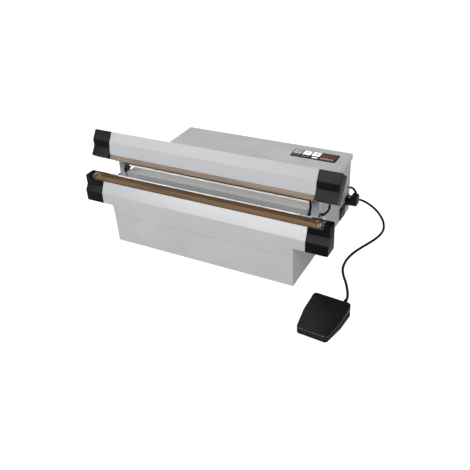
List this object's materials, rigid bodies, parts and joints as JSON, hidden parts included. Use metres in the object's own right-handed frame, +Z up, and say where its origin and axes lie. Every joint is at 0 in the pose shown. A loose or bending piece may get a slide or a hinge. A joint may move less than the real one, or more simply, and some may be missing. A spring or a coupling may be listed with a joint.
{
  "type": "impulse heat sealer",
  "caption": "Bench-top impulse heat sealer: hinged magnet-closed sealing jaws on a sheet-metal housing, with control keys, mains lead and foot pedal.",
  "frame": {"origin": "centre of the sole of the housing's middle foot, on the surface that the machine stands on", "axes": "+X along the jaws to the operator's right, +Y from the jaws towards the back, +Z up"},
  "size_m": [0.7894, 0.7074, 0.2975],
  "materials": {
    "body_paint": "light grey textured powder coat",
    "jaw_paint": "light grey satin powder coat",
    "cap_plastic": "fine-grained black moulding",
    "rubber_foot": "matt",
    "zinc_steel": "bright zinc",
    "aluminium_bar": "extruded",
    "silicone_backing": "matt red silicone",
    "band_metal": "nickel-chromium ribbon",
    "release_fabric": "coated glass cloth, brown, slight sheen",
    "bush_brass": "sintered",
    "winding": "varnished copper wire",
    "cord_rubber": "matt black sheath",
    "plug_plastic": "black moulding",
    "panel_black": "printed film",
    "window_red": "tinted window",
    "key_grey": "satin",
    "key_white": "satin",
    "circuit_board": "solder resist",
    "inlet_plastic": "black moulding",
    "rocker_plastic": "red moulding",
    "pedal_plastic": "black satin moulding",
    "switch_plastic": "black moulding"
  },
  "bodies": {
    "housing": {"front_panel": "body_paint", "side_panel_left": "body_paint", "side_panel_right": "body_paint", "back_panel": "body_paint", "base_plate": "body_paint", "bench_tray": "body_paint", "top_cover": "body_paint", "rubber_feet": "rubber_foot", "foot_screws": "zinc_steel", "cover_screws": "zinc_steel", "lower_jaw_channel": "jaw_paint", "lower_jaw_cap_left": "cap_plastic", "lower_jaw_cap_right": "cap_plastic", "lower_seal_bar": "aluminium_bar", "lower_backing": "silicone_backing", "lower_heating_band": "band_metal", "lower_release_strip": "release_fabric", "lower_jaw_screws": "zinc_steel", "pivot_bushes": "bush_brass", "magnet_cups": "zinc_steel", "magnet_coils": "winding", "magnet_brackets": "zinc_steel", "return_springs": "zinc_steel", "control_fascia": "panel_black", "display_window": "window_red", "control_board": "circuit_board", "transformer_core": "zinc_steel", "transformer_coil": "winding", "mains_inlet": "inlet_plastic", "mains_connector": "plug_plastic", "mains_cord": "cord_rubber", "mains_coil": "cord_rubber", "mains_plug": "plug_plastic", "pedal_socket": "plug_plastic", "pedal_cord": "cord_rubber", "pedal_base": "pedal_plastic", "pedal_pin": "zinc_steel", "pedal_spring": "zinc_steel", "pedal_switch": "switch_plastic"},
    "jaw": {"upper_jaw_channel": "jaw_paint", "upper_jaw_cap_left": "cap_plastic", "upper_jaw_cap_right": "cap_plastic", "upper_seal_bar": "aluminium_bar", "upper_backing": "silicone_backing", "upper_heating_band": "band_metal", "upper_release_strip": "release_fabric", "jaw_arm_left": "jaw_paint", "jaw_arm_right": "jaw_paint", "arm_screws": "zinc_steel", "pivot_shaft": "zinc_steel", "shaft_nuts": "zinc_steel", "armature_levers": "zinc_steel", "armature_plates": "zinc_steel", "jaw_leads": "cord_rubber"},
    "treadle": {"pedal_treadle": "pedal_plastic"},
    "key_left": {"key_left": "key_grey"},
    "key_middle": {"key_middle": "key_white"},
    "key_right": {"key_right": "key_white"},
    "rocker": {"power_rocker": "rocker_plastic"},
    "fuse_holder": {"fuse_drawer": "inlet_plastic"}
  },
  "joints": [
    {"name": "jaw_hinge", "type": "hinge", "parent": "housing", "child": "jaw", "pos_m": [0, -0.11, 0.1525], "axis": [1, 0, 0], "range_deg": [0, 36], "stiffness_Nm_per_rad": 3, "springref_deg": -57.3, "deforming": ["return_springs"]},
    {"name": "treadle_hinge", "type": "hinge", "parent": "housing", "child": "treadle", "pos_m": [0.37881, -0.34464, 0.009], "axis": [-0.9976, 0.0698, 0], "range_deg": [0, 4], "stiffness_Nm_per_rad": 6, "springref_deg": -4.58, "deforming": ["pedal_spring"]},
    {"name": "left_key_press", "type": "slide", "parent": "housing", "child": "key_left", "axis": [0, 0, -1], "range_m": [0, 0.0008], "stiffness_N_per_m": 800, "springref_m": -0.0008},
    {"name": "middle_key_press", "type": "slide", "parent": "housing", "child": "key_middle", "axis": [0, 0, -1], "range_m": [0, 0.0008], "stiffness_N_per_m": 800, "springref_m": -0.0008},
    {"name": "right_key_press", "type": "slide", "parent": "housing", "child": "key_right", "axis": [0, 0, -1], "range_m": [0, 0.0008], "stiffness_N_per_m": 800, "springref_m": -0.0008},
    {"name": "rocker_switch", "type": "hinge", "parent": "housing", "child": "rocker", "pos_m": [0.2635, 0.1425, 0.026], "axis": [0, -1, 0], "range_deg": [0, 18]},
    {"name": "fuse_slide", "type": "slide", "parent": "housing", "child": "fuse_holder", "axis": [1, 0, 0], "range_m": [0, 0.012]}
  ]
}
